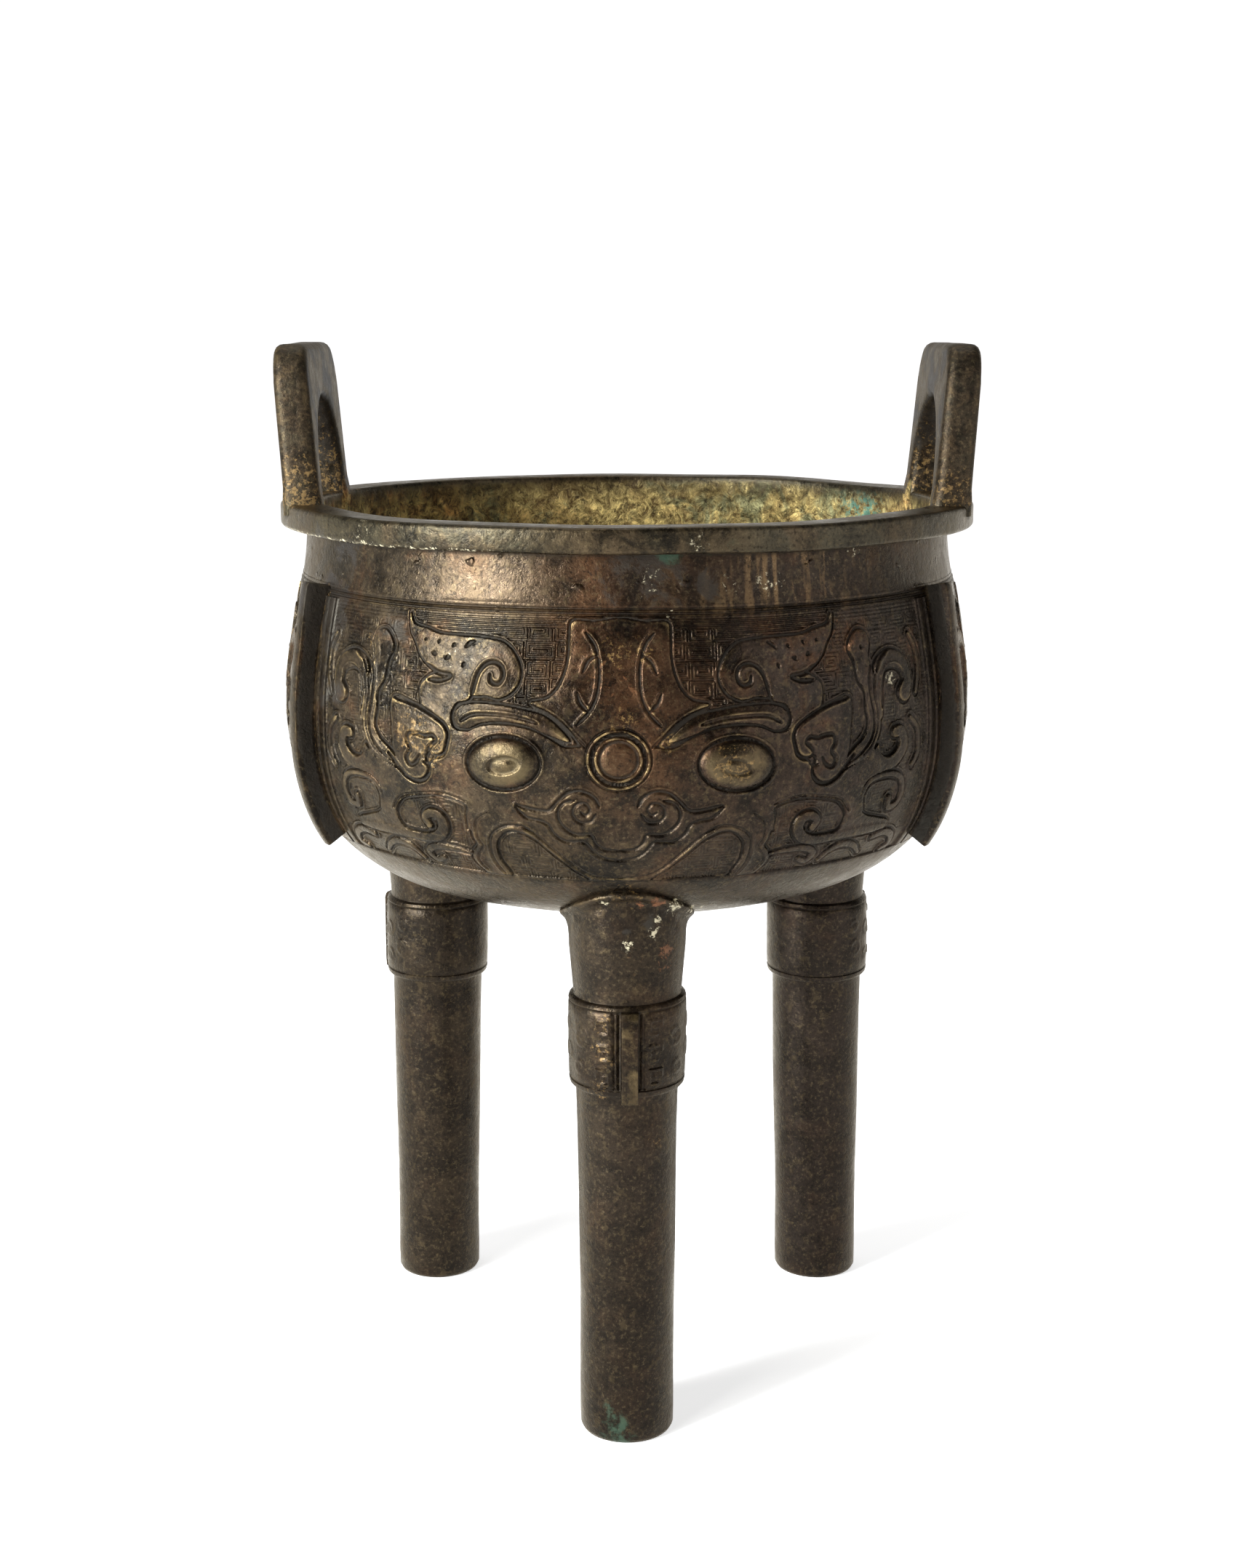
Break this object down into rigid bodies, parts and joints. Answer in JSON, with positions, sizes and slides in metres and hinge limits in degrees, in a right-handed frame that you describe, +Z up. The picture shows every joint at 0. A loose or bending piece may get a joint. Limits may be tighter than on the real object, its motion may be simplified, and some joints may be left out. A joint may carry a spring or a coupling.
{
  "type": "ding tripod vessel",
  "caption": "Round bronze tripod cauldron: deep bowl with a flat rim, upright loop handles, column legs with collars, edge flanges and animal-mask relief.",
  "frame": {"origin": "centre of the bounding box on the floor between the three feet; the bowl's axis stands 2.6 mm in front of it, at y = -2.6 mm", "axes": "+Z up; -Y towards the front leg and the mask above it; the handles stand at -X and +X"},
  "size_m": [0.232, 0.2375, 0.345],
  "materials": {
    "bronze": "dark brown patinated bronze with worn golden edges, green and ochre crust"
  },
  "bodies": {
    "root": {"vessel": "bronze"}
  },
  "joints": []
}
